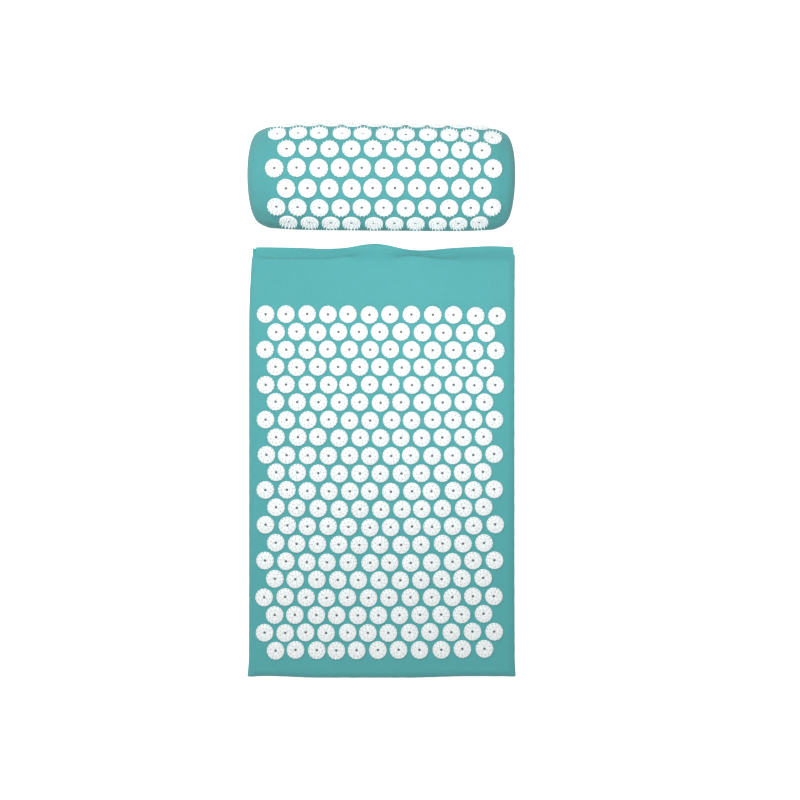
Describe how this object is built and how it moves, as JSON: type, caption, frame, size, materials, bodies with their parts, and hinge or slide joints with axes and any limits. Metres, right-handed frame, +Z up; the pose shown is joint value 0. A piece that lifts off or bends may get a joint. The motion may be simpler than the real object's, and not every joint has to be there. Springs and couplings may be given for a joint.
{
  "type": "acupressure mat with neck pillow",
  "caption": "Foam mat and domed foam neck pillow in teal fabric covers, both set with rows of white spiked plastic discs, with hook-and-loop closures.",
  "frame": {"origin": "on the floor, under the middle of the whole set", "axes": "+Y from the mat's foot to the pillow, +Z up, +X to the right"},
  "size_m": [0.3996, 0.8255, 0.106],
  "materials": {
    "cover_fabric": "matte",
    "tape": "matte",
    "disc_plastic": "satin",
    "foam": "matte"
  },
  "bodies": {
    "mat": {"mat_foam_core": "foam", "mat_cover_front": "cover_fabric", "mat_cover_back": "cover_fabric", "mat_closure_facing": "cover_fabric", "mat_loop_tape_left": "tape", "mat_loop_tape_right": "tape", "mat_disc_row_01": "disc_plastic", "mat_disc_row_02": "disc_plastic", "mat_disc_row_03": "disc_plastic", "mat_disc_row_04": "disc_plastic", "mat_disc_row_05": "disc_plastic", "mat_disc_row_06": "disc_plastic", "mat_disc_row_07": "disc_plastic", "mat_disc_row_08": "disc_plastic", "mat_disc_row_09": "disc_plastic", "mat_disc_row_10": "disc_plastic", "mat_disc_row_11": "disc_plastic", "mat_disc_row_12": "disc_plastic", "mat_disc_row_13": "disc_plastic", "mat_disc_row_14": "disc_plastic", "mat_disc_row_15": "disc_plastic", "mat_disc_row_16": "disc_plastic", "mat_disc_row_17": "disc_plastic", "mat_disc_row_18": "disc_plastic", "mat_disc_row_19": "disc_plastic", "mat_disc_row_20": "disc_plastic"},
    "mat_flap": {"mat_closure_flap": "cover_fabric", "mat_hook_tape_left": "tape", "mat_hook_tape_right": "tape"},
    "pillow": {"pillow_foam_core": "foam", "pillow_cover_top": "cover_fabric", "pillow_end_left": "cover_fabric", "pillow_end_right": "cover_fabric", "pillow_cover_base": "cover_fabric", "pillow_loop_tape": "tape", "pillow_closure_facing": "cover_fabric", "pillow_disc_row_1": "disc_plastic", "pillow_disc_row_2": "disc_plastic", "pillow_disc_row_3": "disc_plastic", "pillow_disc_row_4": "disc_plastic", "pillow_disc_row_5": "disc_plastic", "pillow_disc_row_6": "disc_plastic", "pillow_disc_row_7": "disc_plastic"},
    "pillow_flap": {"pillow_closure_flap": "cover_fabric", "pillow_hook_tape": "tape"}
  },
  "joints": [
    {"name": "mat_closure_peel", "type": "hinge", "parent": "mat", "child": "mat_flap", "pos_m": [0, 0.21845, 0.0205], "axis": [1, 0, 0], "range_deg": [0, 150]},
    {"name": "pillow_lift", "type": "slide", "parent": "mat", "child": "pillow", "axis": [0, 0, 1], "range_m": [0, 0.15]},
    {"name": "pillow_closure_peel", "type": "hinge", "parent": "pillow", "child": "pillow_flap", "pos_m": [0, 0.40962, 0.033], "axis": [1, 0, 0], "range_deg": [0, 130]}
  ]
}
